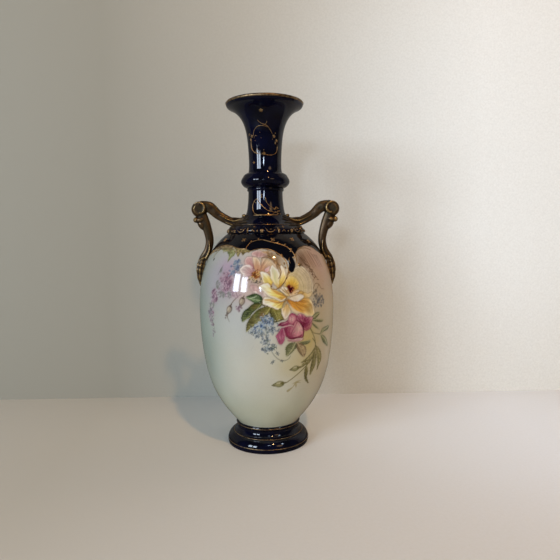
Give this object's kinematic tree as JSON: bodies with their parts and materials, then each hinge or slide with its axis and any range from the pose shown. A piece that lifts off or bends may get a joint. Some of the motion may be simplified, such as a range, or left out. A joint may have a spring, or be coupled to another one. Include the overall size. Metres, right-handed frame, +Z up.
{
  "type": "flower vase",
  "caption": "Tall porcelain flower vase: egg-shaped belly on a round foot, collared neck with a knop and a flared mouth, and a scroll handle on each side.",
  "frame": {"origin": "centre of the foot ring's standing face", "axes": "+Z up along the vase's axis; X from the left handle to the right handle; the painted front faces -Y"},
  "size_m": [0.1472, 0.1348, 0.34],
  "materials": {
    "cobalt_glaze": "deep cobalt blue underglaze, nearly black, very glossy",
    "painted_glaze": "cream glaze with pale green, lavender and pink tints, glossy",
    "antique_gold": "worn fired gold over porcelain, dark in the recesses"
  },
  "bodies": {
    "root": {"foot": "cobalt_glaze", "belly": "painted_glaze", "shoulder_collar": "cobalt_glaze", "lower_neck": "cobalt_glaze", "neck_knop": "cobalt_glaze", "mouth": "cobalt_glaze", "left_handle": "antique_gold", "right_handle": "antique_gold"}
  },
  "joints": []
}
